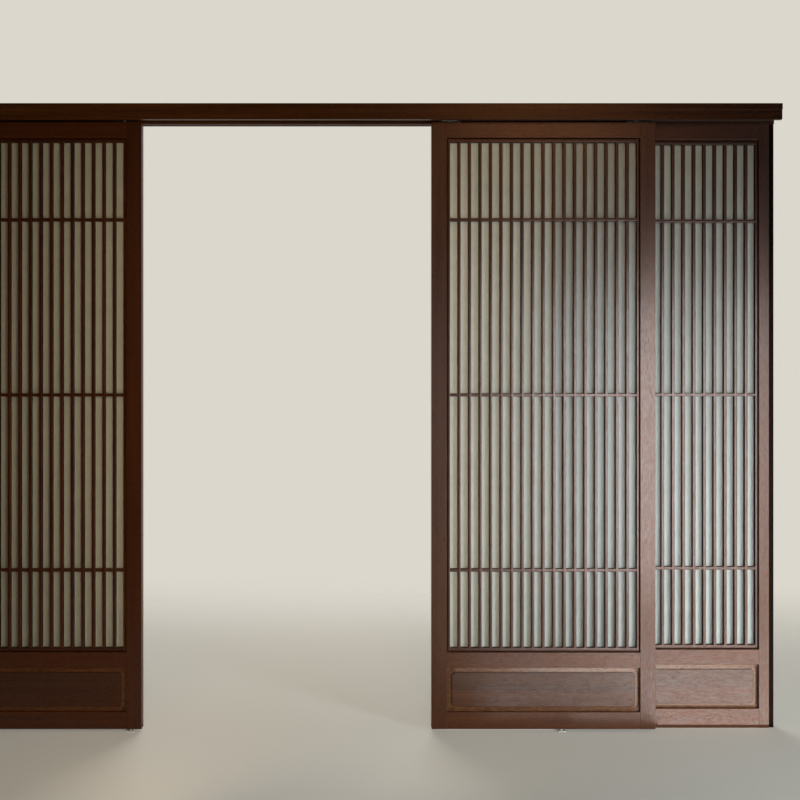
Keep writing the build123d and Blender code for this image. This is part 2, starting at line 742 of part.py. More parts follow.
fixed_leaf = {
    "front": fixed_front,
    "bottom": 0,
    "top": head_underside,
    "outer_stile_width": fixed_outer_stile_width,
    "hangs": False,
}
sliding_leaf = {
    "front": sliding_front,
    "bottom": sliding_floor_gap,
    "top": sliding_top,
    "outer_stile_width": stile_width,
    "hangs": True,
}
leaves = {
    "left_fixed": {**fixed_leaf, "edges": (-fixed_outer_edge, -fixed_inner_edge)},
    "right_fixed": {**fixed_leaf, "edges": (fixed_inner_edge, fixed_outer_edge)},
    "left_sliding": {**sliding_leaf, "edges": (left_inner_edge - sliding_leaf_width, left_inner_edge)},
    "right_sliding": {**sliding_leaf, "edges": (right_inner_edge, right_inner_edge + sliding_leaf_width)},
}
for prefix, leaf in leaves.items():
    make_leaf(prefix, leaf)
    if not leaf["hangs"]:
        continue
    make_carriages(f"{prefix}_carriages", leaf["edges"])
    axle_places = []
    for hanger_x in hanger_places(leaf["edges"]):
        axle_places += [hanger_x - axle_spacing / 2, hanger_x + axle_spacing / 2]
    for number, axle_x in enumerate(axle_places, 1):
        make_wheels(f"{prefix}_wheels_{number}", axle_x)
    make_hanger_plates(f"{prefix}_hanger_plates", leaf["edges"])
    make_hanger_fasteners(f"{prefix}_hanger_fasteners", leaf["edges"])
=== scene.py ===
import math

import bmesh
import bpy
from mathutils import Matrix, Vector


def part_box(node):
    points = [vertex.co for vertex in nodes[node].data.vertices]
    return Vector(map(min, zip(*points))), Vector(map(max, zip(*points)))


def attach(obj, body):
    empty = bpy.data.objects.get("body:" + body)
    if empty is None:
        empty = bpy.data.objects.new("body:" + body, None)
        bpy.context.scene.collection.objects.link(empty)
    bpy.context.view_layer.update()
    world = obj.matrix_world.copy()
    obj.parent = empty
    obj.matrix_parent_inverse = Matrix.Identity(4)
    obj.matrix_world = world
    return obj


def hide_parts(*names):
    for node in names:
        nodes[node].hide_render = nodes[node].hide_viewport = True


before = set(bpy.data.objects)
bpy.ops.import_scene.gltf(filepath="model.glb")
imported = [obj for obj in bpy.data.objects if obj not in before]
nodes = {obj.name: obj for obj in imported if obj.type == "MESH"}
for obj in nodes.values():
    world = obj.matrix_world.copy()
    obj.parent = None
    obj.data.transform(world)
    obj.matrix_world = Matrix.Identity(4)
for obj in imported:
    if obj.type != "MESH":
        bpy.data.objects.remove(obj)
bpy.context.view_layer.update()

# Stiles and jambs. Each is one planed length of hardwood with eased arrises, stained dark red-brown and
# varnished satin, and the stiles are mortised for the rails. The left leaves' timber is painted darker, as
# painted shade, and the slim jamb at each side is painted nearly black, as a painted shadow.
mm = 0.001
quarter_turn = math.pi / 2
wide_noise = (0.3, 0.7)  # the values between which a noise goes through all its shades
leaf_bodies = {
    "left_fixed": "frame",
    "right_fixed": "frame",
    "left_sliding": "left_leaf",
    "right_sliding": "right_leaf",
}

# The sockets of a Mix node, by number, since those for values, vectors and colours share their names.
mix_share = 0
value_a, value_b, mixed_value = 2, 3, 0
vector_a, vector_b, mixed_vector = 4, 5, 1
colour_a, colour_b, mixed_colour = 6, 7, 2


def linear(hex_colour):
    """The linear RGBA colour of an sRGB hex value."""
    channels = [int(hex_colour[at : at + 2], 16) / 255 for at in (1, 3, 5)]
    return [c / 12.92 if c <= 0.04045 else ((c + 0.055) / 1.055) ** 2.4 for c in channels] + [1.0]


def add(tree, kind, sockets=(), stops=(), **settings):
    """Adds a node with its settings and ramp stops, and sets its inputs or links them to other outputs.

    The inputs come by name or number in a dictionary, or in their own order in a tuple. Those of a Map Range
    are its value, the two ends that it comes from and the two ends that it goes to."""
    node = tree.nodes.new(kind)
    for name, value in settings.items():
        setattr(node, name, value)
    for number, (position, colour) in enumerate(stops):
        elements = node.color_ramp.elements
        element = elements[number] if number < 2 else elements.new(position)
        element.position = position
        element.color = linear(colour)
    inputs = sockets.items() if isinstance(sockets, dict) else enumerate(sockets)
    for key, value in inputs:
        if isinstance(value, bpy.types.NodeSocket):
            tree.links.new(value, node.inputs[key])
        else:
            node.inputs[key].default_value = value
    return node


def new_material(name, sockets=()):
    """A material with only its shader, whose inputs may be given, and the material's tree and shader."""
    material = bpy.data.materials.new(name)
    material.use_nodes = True
    tree = material.node_tree
    tree.nodes.clear()
    shader = add(tree, "ShaderNodeBsdfPrincipled", sockets)
    add(tree, "ShaderNodeOutputMaterial", {"Surface": shader.outputs["BSDF"]})
    return material, tree, shader


def growth_rings(tree, upright, ring_spacing):
    """Wavy growth rings, cut at a slant and long drawn out along the grain."""
    ring_slant = 0.45
    ring_stretch = 1 / 14
    wander_size = 30 * mm
    wave_scale = math.tau / 20 / ring_spacing  # at scale 1 a band texture repeats every tau / 20
    slanted = add(
        tree,
        "ShaderNodeMapping",
        {"Vector": upright, "Rotation": (0, 0, ring_slant), "Scale": (1, 1, ring_stretch)},
    ).outputs["Vector"]
    return add(
        tree,
        "ShaderNodeTexWave",
        {
            "Vector": slanted,
            "Scale": wave_scale,
            "Distortion": 9.0,
            "Detail": 2.0,
            "Detail Scale": 1 / (wander_size * wave_scale),
        },
        wave_type="BANDS",
        bands_direction="X",
    ).outputs["Fac"]


def drawn_out_noises(tree, upright):
    """Broad streaks, fine fibres, open pores and a mottle, each a noise drawn out along the grain."""
    streak_width = 22 * mm
    fibre_width = 1.1 * mm
    pore_width = 1.3 * mm  # real pores are 0.2 mm wide, drawn as coarse as the render can show
    mottle_width = 9 * mm
    noises = []
    for width, length_ratio, detail in (
        (streak_width, 30, 2.0),
        (fibre_width, 60, 3.0),
        (pore_width, 14, 1.0),
        (mottle_width, 3, 3.0),
    ):
        drawn_out = add(tree, "ShaderNodeMapping", {"Vector": upright, "Scale": (1, 1, 1 / length_ratio)})
        noise = add(
            tree,
            "ShaderNodeTexNoise",
            {"Vector": drawn_out.outputs[0], "Scale": 1 / width, "Detail": detail},
        )
        noises.append(noise.outputs["Fac"])
    return noises


def glued_boards(tree, where, field):
    """The shades of a panel's two boards, the lower one a little redder, and of the glue line between."""
    upper_shade = linear("#EEF0F2")
    lower_shade = linear("#FFF3EC")
    line_half_width = 0.3 * mm
    line_edge = 1.2 * mm
    line_darkness = 0.55
    low, high, _ = field
    glue_line = (low.z + high.z) / 2
    height = add(tree, "ShaderNodeSeparateXYZ", (where,)).outputs["Z"]
    lower = add(tree, "ShaderNodeMath", (height, glue_line), operation="LESS_THAN").outputs[0]
    board = add(
        tree,
        "ShaderNodeMix",
        {mix_share: lower, colour_a: upper_shade, colour_b: lower_shade},
        data_type="RGBA",
    ).outputs[mixed_colour]
    away = add(tree, "ShaderNodeMath", (height, glue_line), operation="SUBTRACT").outputs[0]
    distance = add(tree, "ShaderNodeMath", (away,), operation="ABSOLUTE").outputs[0]
    seam = add(
        tree, "ShaderNodeMapRange", (distance, line_half_width, line_edge, line_darkness, 1.0)
    ).outputs[0]
    return board, seam


def fielded_bevels(tree, where, field):
    """Where the bevels round a panel's field are, and the painted shade along the small step beside it."""
    bevel_start = 0.5 * mm
    bevel_sure = 1.5 * mm
    step_middle = 1.0 * mm
    dark_half_width = 1.2 * mm
    dark_edge = 3.5 * mm
    step_shade_darkness = 0.68
    low, high, corner = field
    half = (high - low) / 2
    offset = add(tree, "ShaderNodeVectorMath", (where, (low + high) / 2), operation="SUBTRACT").outputs[0]
    size = add(tree, "ShaderNodeVectorMath", (offset,), operation="ABSOLUTE").outputs[0]
    inner = Vector((half.x - corner, 1.0, half.z - corner))
    past = add(tree, "ShaderNodeVectorMath", (size, inner), operation="SUBTRACT").outputs[0]
    past = add(tree, "ShaderNodeVectorMath", (past, Vector()), operation="MAXIMUM").outputs[0]
    reach = add(tree, "ShaderNodeVectorMath", (past,), operation="LENGTH").outputs["Value"]
    beyond = add(tree, "ShaderNodeMath", (reach, corner), operation="SUBTRACT").outputs[0]
    on_bevel = add(tree, "ShaderNodeMapRange", (beyond, bevel_start, bevel_sure)).outputs[0]
    # Painted shade along the small step beside the field.
    from_step = add(tree, "ShaderNodeMath", (beyond, step_middle), operation="SUBTRACT").outputs[0]
    off_step = add(tree, "ShaderNodeMath", (from_step,), operation="ABSOLUTE").outputs[0]
    painted_step_shade = add(
        tree, "ShaderNodeMapRange", (off_step, dark_half_width, dark_edge, step_shade_darkness, 1.0)
    ).outputs[0]
    return on_bevel, painted_step_shade


def rubbed_arrises(tree):
    """How rubbed a point is: an arris is within reach, or the face itself lies aslant to all three axes."""
    wear_reach = 1.5 * mm
    most_rubbed = 0.6
    turn_span = (0.98, 0.84)
    slant_span = (0.97, 0.85)
    rounded = add(tree, "ShaderNodeBevel", {"Radius": wear_reach}, samples=4).outputs[0]
    facing = add(tree, "ShaderNodeNewGeometry").outputs["Normal"]
    turn = add(tree, "ShaderNodeVectorMath", (rounded, facing), operation="DOT_PRODUCT").outputs["Value"]
    near_arris = add(tree, "ShaderNodeMapRange", (turn, *turn_span, 0.0, most_rubbed)).outputs[0]
    shares = add(tree, "ShaderNodeVectorMath", (facing,), operation="ABSOLUTE").outputs[0]
    along_x, along_y, along_z = add(tree, "ShaderNodeSeparateXYZ", (shares,)).outputs
    squareness = add(tree, "ShaderNodeMath", (along_x, along_y), operation="MAXIMUM").outputs[0]
    squareness = add(tree, "ShaderNodeMath", (squareness, along_z), operation="MAXIMUM").outputs[0]
    on_arris = add(tree, "ShaderNodeMapRange", (squareness, *slant_span, 0.0, most_rubbed)).outputs[0]
    return add(tree, "ShaderNodeMath", (near_arris, on_arris), operation="MAXIMUM").outputs[0]


def varnished_timber(
    name,
    tones,
    ring_spacing,
    level_grain=False,
    sticks=False,
    field=None,
    gloss=1.0,
    worn="#7D4F30",
    painted_shade="#FFFFFF",
):
    """Stained hardwood under satin varnish: wavy growth rings, broad streaks, fine fibres and open pores.

    The tones are a dark, a middling and a light one. The grain runs up, or along X where it is level, and
    on sticks an attribute says which. Their sides are painted dark, as painted shade, and dulled. A field
    is the raised middle of a panel: its low and high corner and its corner radius. The bevels round it are
    painted a lighter orange-brown in patches, as a painted highlight, and all arrises are rubbed to a
    lighter brown, in patches. A painted shade, where one is given, darkens the whole stain."""
    varnish_index = 1.5
    satin_roughness = (0.31, 0.44)
    thick_and_thin_varnish = (0.42 * gloss, 0.3 * gloss)
    bevel_painted_highlight = linear("#855A3A")
    bevel_highlight_span = (0.2, 0.75)
    ring_share = 0.16
    mottle_share = 0.55
    fibre_height = 0.35
    fibre_shades = (0.88, 1.1)
    mottle_shades = (0.87, 1.12)
    pore_depth = 0.12 * mm
    middle_noise = (0.35, 0.65)
    patch_noise = (0.38, 0.62)
    pore_noise_span = (0.62, 0.7)
    dull_pore_span = (0.52, 0.68)
    patch_wear = (0.25, 1.0)
    side_span = (0.5, 0.95)
    side_painted_shades = (1.0, 0.12)
    pore_gloss = (1.0, 0.55)
    arris_span = (0.0, 0.5)
    arris_gloss = (1.0, 0.15)
    dark, middling, light = tones

    material, tree, shader = new_material(name, {"IOR": varnish_index})
    where = add(tree, "ShaderNodeTexCoord").outputs["Object"]
    level = add(tree, "ShaderNodeMapping", {"Vector": where, "Rotation": (0, quarter_turn, 0)}).outputs[0]
    upright = level if level_grain else where
    if sticks:
        is_level = add(tree, "ShaderNodeAttribute", attribute_name="level_grain").outputs["Fac"]
        upright = add(
            tree,
            "ShaderNodeMix",
            {mix_share: is_level, vector_a: where, vector_b: level},
            data_type="VECTOR",
        ).outputs[mixed_vector]
    rings = growth_rings(tree, upright, ring_spacing)
    streaks, fibres, pore_noise, mottle = drawn_out_noises(tree, upright)
    figure = add(
        tree, "ShaderNodeMix", {mix_share: ring_share, value_a: streaks, value_b: rings}
    ).outputs[mixed_value]
    stops = ((0.2, dark), (0.8, light), (0.5, middling))
    stain = add(tree, "ShaderNodeValToRGB", {"Fac": figure}, stops=stops).outputs["Color"]

    # What lies over the first stain, from below, each with its share, its colour and how it blends.
    layers = []
    dullings = []
    if field:
        layers += [(1.0, shade, "MULTIPLY") for shade in glued_boards(tree, where, field)]
    if sticks:
        # Painted shade: the sticks' sides are painted darker, and their varnish is dulled with it.
        tone = add(tree, "ShaderNodeAttribute", attribute_name="stick_tone").outputs["Fac"]
        side = add(tree, "ShaderNodeAttribute", attribute_name="stick_side").outputs["Fac"]
        painted_side_shade = add(tree, "ShaderNodeMapRange", (side, *side_span, *side_painted_shades)).outputs[0]
        layers += [(1.0, tone, "MULTIPLY"), (1.0, painted_side_shade, "MULTIPLY")]
        dullings.append(painted_side_shade)
    for noise, shades in ((fibres, fibre_shades), (mottle, mottle_shades)):
        shade = add(tree, "ShaderNodeMapRange", (noise, *wide_noise, *shades)).outputs[0]
        layers.append((1.0, shade, "MULTIPLY"))
    # Painted highlight: the bevels round a field are painted a lighter orange-brown in patches.
    if field:
        on_bevel, painted_step_shade = fielded_bevels(tree, where, field)
        highlight_patches = add(tree, "ShaderNodeMapRange", (mottle, *middle_noise, *bevel_highlight_span)).outputs[0]
        bevel_highlight = add(tree, "ShaderNodeMath", (on_bevel, highlight_patches), operation="MULTIPLY").outputs[0]
        layers += [(bevel_highlight, bevel_painted_highlight, "MIX"), (1.0, painted_step_shade, "MULTIPLY")]
        dullings.append(painted_step_shade)
    pores = add(tree, "ShaderNodeMapRange", (pore_noise, *pore_noise_span)).outputs[0]
    arris = rubbed_arrises(tree)
    patches = add(tree, "ShaderNodeMapRange", (mottle, *patch_noise, *patch_wear)).outputs[0]
    wear = add(tree, "ShaderNodeMath", (arris, patches), operation="MULTIPLY").outputs[0]
    # A painted shade, where one is given, darkens the whole stain.
    layers += [(pores, linear(dark), "MIX"), (1.0, linear(painted_shade), "MULTIPLY"), (wear, linear(worn), "MIX")]
    for share, colour, blend in layers:
        stain = add(
            tree,
            "ShaderNodeMix",
            {mix_share: share, colour_a: stain, colour_b: colour},
            data_type="RGBA",
            blend_type=blend,
        ).outputs[mixed_colour]
    tree.links.new(stain, shader.inputs["Base Color"])

    grain = add(
        tree, "ShaderNodeMix", {mix_share: mottle_share, value_a: fibres, value_b: mottle}
    ).outputs[mixed_value]
    roughness = add(tree, "ShaderNodeMapRange", (grain, *wide_noise, *satin_roughness)).outputs[0]
    tree.links.new(roughness, shader.inputs["Roughness"])
    varnish = add(tree, "ShaderNodeMapRange", (mottle, *middle_noise, *thick_and_thin_varnish)).outputs[0]
    open_grain = add(tree, "ShaderNodeMapRange", (pore_noise, *dull_pore_span, *pore_gloss)).outputs[0]
    rubbed_through = add(tree, "ShaderNodeMapRange", (arris, *arris_span, *arris_gloss)).outputs[0]
    for dulling in (open_grain, rubbed_through, *dullings):
        varnish = add(tree, "ShaderNodeMath", (varnish, dulling), operation="MULTIPLY").outputs[0]
    tree.links.new(varnish, shader.inputs["Specular IOR Level"])

    relief = add(tree, "ShaderNodeMath", (fibres, fibre_height), operation="MULTIPLY").outputs[0]
    relief = add(tree, "ShaderNodeMath", (relief, pores), operation="SUBTRACT").outputs[0]
    bump = add(tree, "ShaderNodeBump", {"Strength": 0.5, "Distance": pore_depth, "Height": relief})
    tree.links.new(bump.outputs["Normal"], shader.inputs["Normal"])
    return material


def finish_with(material, *names):
    """Gives CAD nodes their finish."""
    for name in names:
        nodes[name].data.materials.clear()
        nodes[name].data.materials.append(material)


stile_tones = ("#3F1F0A", "#4B260D", "#573012")
stile_rings = 7 * mm
# The left leaves' timber is multiplied darker than the right's, as painted shade.
painted_shade_by_side = {"left": "#DCCAB4", "right": "#FFFFFF"}
for side, painted_shade in painted_shade_by_side.items():
    stile_timber = varnished_timber(f"varnished_{side}_stile_timber", stile_tones, stile_rings, painted_shade=painted_shade)
    for leaf in (f"{side}_fixed", f"{side}_sliding"):
        finish_with(stile_timber, f"{leaf}_inner_stile", f"{leaf}_outer_stile")
# The jambs are coloured nearly black, as a painted shadow.
jamb_painted_shadow_tones = ("#120B08", "#19100C", "#211611")
jamb_painted_shadow_timber = varnished_timber("jamb_painted_shadow", jamb_painted_shadow_tones, stile_rings, gloss=0.03, worn="#3A2A20")
finish_with(jamb_painted_shadow_timber, "left_jamb", "right_jamb")

# Rails. They are tenoned into the stiles, of the same hardwood with the grain level, and took the stain a
# little redder. The shoulders close up to the stiles with a hairline joint.
rail_tones = ("#45230B", "#522A0F", "#5F3415")
rail_rings = 8 * mm
rail_timbers = {}
for side, painted_shade in painted_shade_by_side.items():
    timber = varnished_timber(
        f"varnished_{side}_rail_timber", rail_tones, rail_rings, level_grain=True, painted_shade=painted_shade
    )
    rail_timbers[side] = timber
    for leaf in (f"{side}_fixed", f"{side}_sliding"):
        finish_with(timber, f"{leaf}_top_rail", f"{leaf}_mid_rail", f"{leaf}_bottom_rail")

# Bottom panels. Each is two boards edge-glued at mid-height, raised and fielded by a cutter with a round
# corner, and floats in the grooves of its frame. A small step divides field and bevel, with painted shade
# along it, and the bevels are painted lighter, as a painted highlight.
panel_tones = ("#422615", "#4E2E1A", "#5A3823")
panel_rings = 11 * mm
panel_tongue = 7 * mm
panel_margin = 20.5 * mm
field_corner = 16 * mm
for leaf in leaf_bodies:
    side, _ = leaf.split("_")
    low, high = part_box(f"{leaf}_panel")
    inset = Vector((panel_tongue + panel_margin, 0, panel_tongue + panel_margin))
    panel_timber = varnished_timber(
        f"varnished_{leaf}_panel_boards",
        panel_tones,
        panel_rings,
        level_grain=True,
        field=(low + inset, high - inset, field_corner),
        painted_shade=painted_shade_by_side[side],
    )
    finish_with(panel_timber, f"{leaf}_panel")

# Lattices. Slats and bars of the same hardwood are half-lapped into a flush grille and held in four edge
# members, which stand off the frame by a dark shadow gap. A thin lip behind closes the gap.
slat_count = 17
slat_width = 12 * mm
slat_arris = 1.6 * mm
slat_rings = 5 * mm
lattice_thickness = 14 * mm
bar_count = 3
bar_width = 12 * mm
bar_spacing = 690 * mm
bar_setback = 0.2 * mm
side_gap = 4 * mm
end_gap = 5.5 * mm
side_member = 9 * mm
end_member = 12 * mm
lip_clearance = 0.3 * mm
lip_thickness = 4 * mm
lip_arris = 0.2 * mm
slat_tones = ("#361607", "#43200D", "#532D17")
slat_timbers = {
    side: varnished_timber(f"varnished_{side}_lattice_slats", slat_tones, slat_rings, sticks=True, painted_shade=painted_shade)
    for side, painted_shade in painted_shade_by_side.items()
}


def new_tree(name, inputs):
    """An empty geometry tree with named inputs, each a name, a socket type and a first value."""
    tree = bpy.data.node_groups.new(name, "GeometryNodeTree")
    for label, kind, value in inputs:
        socket = tree.interface.new_socket(label, in_out="INPUT", socket_type=f"NodeSocket{kind}")
        if value is not None:
            socket.default_value = value
    tree.interface.new_socket("Geometry", in_out="OUTPUT", socket_type="NodeSocketGeometry")
    return tree, add(tree, "NodeGroupInput").outputs


def one_stick(tree, given):
    """An upright stick with eased arrises, about the origin."""
    arris_steps = 2
    ends = {}
    for end, share in (("Start", -0.5), ("End", 0.5)):
        height = add(tree, "ShaderNodeMath", (given["Length"], share), operation="MULTIPLY").outputs[0]
        ends[end] = add(tree, "ShaderNodeCombineXYZ", {"Z": height}).outputs[0]
    line = add(tree, "GeometryNodeCurvePrimitiveLine", ends).outputs[0]
    section = add(
        tree,
        "GeometryNodeCurvePrimitiveQuadrilateral",
        {"Width": given["Width"], "Height": given["Thickness"]},
    ).outputs[0]
    eased = add(
        tree,
        "GeometryNodeFilletCurve",
        {"Curve": section, "Count": arris_steps, "Radius": given["Arris"]},
        mode="POLY",
    ).outputs[0]
    return add(
        tree, "GeometryNodeCurveToMesh", {"Curve": line, "Profile Curve": eased, "Fill Caps": True}
    ).outputs[0]


def stick_row_tree():
    """A row of like sticks, side by side along X, or one above the other where it is level.

    Each stick keeps three attributes: its own tone, whether its grain is level, and on each face how far it
    turns to the side."""
    darkest = 0.82
    palest = 1.12
    tree, given = new_tree(
        "stick_row",
        (
            ("Geometry", "Geometry", None),
            ("Count", "Int", 1),
            ("Spacing", "Float", 0.0),
            ("Length", "Float", 1.0),
            ("Width", "Float", 10 * mm),
            ("Thickness", "Float", 10 * mm),
            ("Arris", "Float", 1 * mm),
            ("Level", "Bool", False),
            ("Centre", "Vector", (0, 0, 0)),
            ("Seed", "Int", 0),
            ("Material", "Material", None),
        ),
    )
    stick = one_stick(tree, given)
    gaps = add(tree, "ShaderNodeMath", (given["Count"], -1.0), operation="ADD").outputs[0]
    span = add(tree, "ShaderNodeMath", (gaps, given["Spacing"]), operation="MULTIPLY").outputs[0]
    first = add(tree, "ShaderNodeMath", (span, -0.5), operation="MULTIPLY").outputs[0]
    places = add(
        tree,
        "GeometryNodeMeshLine",
        {
            "Count": given["Count"],
            "Start Location": add(tree, "ShaderNodeCombineXYZ", {"X": first}).outputs[0],
            "Offset": add(tree, "ShaderNodeCombineXYZ", {"X": given["Spacing"]}).outputs[0],
        },
        mode="OFFSET",
    ).outputs[0]
    row = add(tree, "GeometryNodeInstanceOnPoints", {"Points": places, "Instance": stick}).outputs[0]
    tone = add(
        tree, "FunctionNodeRandomValue", {2: darkest, 3: palest, "Seed": given["Seed"]}, data_type="FLOAT"
    ).outputs[1]
    for name, value in (("stick_tone", tone), ("level_grain", given["Level"])):
        row = add(
            tree,
            "GeometryNodeStoreNamedAttribute",
            {"Geometry": row, "Name": name, "Value": value},
            data_type="FLOAT",
            domain="INSTANCE",
        ).outputs[0]
    turn = add(tree, "ShaderNodeMath", (given["Level"], quarter_turn), operation="MULTIPLY").outputs[0]
    rotation = add(tree, "ShaderNodeCombineXYZ", {"Y": turn}).outputs[0]
    placed = add(
        tree,
        "GeometryNodeTransform",
        {"Geometry": row, "Translation": given["Centre"], "Rotation": rotation},
    ).outputs[0]
    joined = add(tree, "GeometryNodeJoinGeometry")
    tree.links.new(given["Geometry"], joined.inputs[0])
    tree.links.new(placed, joined.inputs[0])
    real = add(tree, "GeometryNodeRealizeInstances", (joined.outputs[0],)).outputs[0]
    normal = add(tree, "GeometryNodeInputNormal").outputs[0]
    facing = add(tree, "ShaderNodeSeparateXYZ", (normal,)).outputs["Y"]
    flatness = add(tree, "ShaderNodeMath", (facing,), operation="ABSOLUTE").outputs[0]
    sideways = add(tree, "ShaderNodeMath", (1.0, flatness), operation="SUBTRACT").outputs[0]
    real = add(
        tree,
        "GeometryNodeStoreNamedAttribute",
        {"Geometry": real, "Name": "stick_side", "Value": sideways},
        data_type="FLOAT",
        domain="FACE",
    ).outputs[0]
    covered = add(tree, "GeometryNodeSetMaterial", {"Geometry": real, "Material": given["Material"]})
    add(tree, "NodeGroupOutput", (covered.outputs[0],))
    return tree


def grow(name, tree, runs):
    """A piece grown by one tree, with a modifier for each run of inputs, and then made a plain mesh."""
    piece = bpy.data.objects.new(name, bpy.data.meshes.new(name))
    bpy.context.scene.collection.objects.link(piece)
    for run in runs:
        modifier = piece.modifiers.new(tree.name, "NODES")
        modifier.node_group = tree
        for socket in tree.interface.items_tree:
            if socket.in_out == "INPUT" and socket.name in run:
                modifier[socket.identifier] = run[socket.name]
    grown = piece.evaluated_get(bpy.context.evaluated_depsgraph_get())
    mesh = bpy.data.meshes.new_from_object(grown)
    piece.modifiers.clear()
    piece.data = mesh
    return piece


stick_row = stick_row_tree()
row_inputs = ("Centre", "Count", "Spacing", "Length", "Width", "Thickness", "Arris", "Level")
seeds_per_leaf = 10
for number, (leaf, body) in enumerate(leaf_bodies.items()):
    side, _ = leaf.split("_")
    low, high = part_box(f"{leaf}_lattice")
    middle = (low + high) / 2
    width = high.x - low.x
    height = high.z - low.z
    outer_width = width + 2 * lip_clearance - 2 * side_gap
    outer_height = height + 2 * lip_clearance - 2 * end_gap
    inner_width = outer_width - 2 * side_member
    inner_height = outer_height - 2 * end_member
    slat_gap = (inner_width - slat_count * slat_width) / (slat_count + 1)
    slat_pitch = slat_gap + slat_width
    bar_thickness = lattice_thickness - bar_setback
    lip_side = (width - inner_width) / 2
    lip_end = (height - inner_height) / 2
    side_pitch = inner_width + side_member
    end_pitch = inner_height + end_member
    front = Vector((middle.x, low.y + lattice_thickness / 2, middle.z))
    bars = front + Vector((0, bar_setback / 2, 0))
    back = Vector((middle.x, high.y - lip_thickness / 2, middle.z))
    rows = (
        (front, slat_count, slat_pitch, inner_height, slat_width, lattice_thickness, slat_arris, False),
        (bars, bar_count, bar_spacing, inner_width, bar_width, bar_thickness, slat_arris, True),
        (front, 2, side_pitch, outer_height, side_member, lattice_thickness, slat_arris, False),
        (front, 2, end_pitch, inner_width, end_member, lattice_thickness, slat_arris, True),
        (back, 2, width - lip_side, height, lip_side, lip_thickness, lip_arris, False),
        (back, 2, height - lip_end, inner_width, lip_end, lip_thickness, lip_arris, True),
    )
    runs = []
    for seed, row in enumerate(rows, start=seeds_per_leaf * number + 1):
        runs.append(dict(zip(row_inputs, row), Seed=seed, Material=slat_timbers[side]))
    lattice = grow(f"{leaf}_grille", stick_row, runs)
    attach(lattice, body)
    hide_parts(f"{leaf}_lattice")

# Infill sheets. Each is one pale frosted acrylic sheet with faint paper-like fibres, cast and cut to size.
# It lets the shape of what stands close behind it show through softly.
sheet_fibre_width = 3 * mm
sheet_fibre_length_ratio = 6
cloud_size = 60 * mm
cloud_share = 0.5
frost_depth = 0.05 * mm
sheet_material, tree, shader = new_material(
    "frosted_acrylic_sheet",
    {"Roughness": 0.6, "IOR": 1.49, "Transmission Weight": 0.3, "Specular IOR Level": 0.3},
)
where = add(tree, "ShaderNodeTexCoord").outputs["Object"]
drawn_out = add(
    tree, "ShaderNodeMapping", {"Vector": where, "Scale": (1, 1, 1 / sheet_fibre_length_ratio)}
).outputs[0]
fibres = add(
    tree, "ShaderNodeTexNoise", {"Vector": drawn_out, "Scale": 1 / sheet_fibre_width, "Detail": 4.0}
).outputs["Fac"]
clouds = add(
    tree, "ShaderNodeTexNoise", {"Vector": where, "Scale": 1 / cloud_size, "Detail": 3.0}
).outputs["Fac"]
mottle = add(
    tree, "ShaderNodeMix", {mix_share: cloud_share, value_a: fibres, value_b: clouds}
).outputs[mixed_value]
pale = add(tree, "ShaderNodeValToRGB", {"Fac": mottle}, stops=((0.35, "#C6CBC6"), (0.65, "#D6DBD6")))
tree.links.new(pale.outputs["Color"], shader.inputs["Base Color"])
frost = add(tree, "ShaderNodeBump", {"Strength": 0.3, "Distance": frost_depth, "Height": fibres})
tree.links.new(frost.outputs["Normal"], shader.inputs["Normal"])
finish_with(sheet_material, *[f"{leaf}_infill" for leaf in leaf_bodies])

# Beads. Four mitred strips of the rails' timber, with a rounded inner edge, hold each sheet in from the back
# and can be taken out to change it.
bead_width = 10 * mm
bead_round = 4 * mm
bead_round_steps = 4


def bead_mesh(name, low, high):
    """A mitred frame of beads: its section, from the rebate to the sight edge, swept round four corners."""
    depth = high.y - low.y
    section = [(0, 0), (bead_width, 0)]
    for step in range(bead_round_steps + 1):
        turn = quarter_turn * step / bead_round_steps
        inset = bead_width - bead_round * (1 - math.cos(turn))
        section.append((inset, depth - bead_round * (1 - math.sin(turn))))
    section.append((0, depth))
    shape = bmesh.new()
    rings = []
    for inset, back in section:
        corners = (
            (low.x + inset, low.z + inset),
            (high.x - inset, low.z + inset),
            (high.x - inset, high.z - inset),
            (low.x + inset, high.z - inset),
        )
        rings.append([shape.verts.new((x, low.y + back, z)) for x, z in corners])
    for ring, following in zip(rings, rings[1:] + rings[:1]):
        for corner in range(len(ring)):
            after = (corner + 1) % len(ring)
            shape.faces.new((ring[corner], ring[after], following[after], following[corner]))
    bmesh.ops.recalc_face_normals(shape, faces=shape.faces)
    mesh = bpy.data.meshes.new(name)
    shape.to_mesh(mesh)
    shape.free()
    return mesh


for leaf, body in leaf_bodies.items():
    side, _ = leaf.split("_")
    name = f"{leaf}_bead_frame"
    bead = bpy.data.objects.new(name, bead_mesh(name, *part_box(f"{leaf}_beads")))
    bpy.context.scene.collection.objects.link(bead)
    bead.data.materials.append(rail_timbers[side])
    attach(bead, body)
    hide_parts(f"{leaf}_beads")

# Head. A board, a fascia with a proud upper band and a grooved back rail are screwed together round the
# track, of the same hardwood with the grain level, and are lifted into place in one.
head_tones = ("#381D0A", "#49280F", "#593418")
head_rings = 9 * mm
head_timber = varnished_timber(
    "varnished_head_timber", head_tones, head_rings, level_grain=True, gloss=0.45, worn="#5E3A20"
)
finish_with(head_timber, "head_board", "head_fascia", "head_back_rail")

# Track. One extruded aluminium channel, coloured dark bronze as painted shade, with fine die lines along its
# length.
# Eight pan-head screws hold it up to the head board.
die_line_width = 0.8 * mm
die_line_length_ratio = 100
drawn_roughness = (0.3, 0.42)
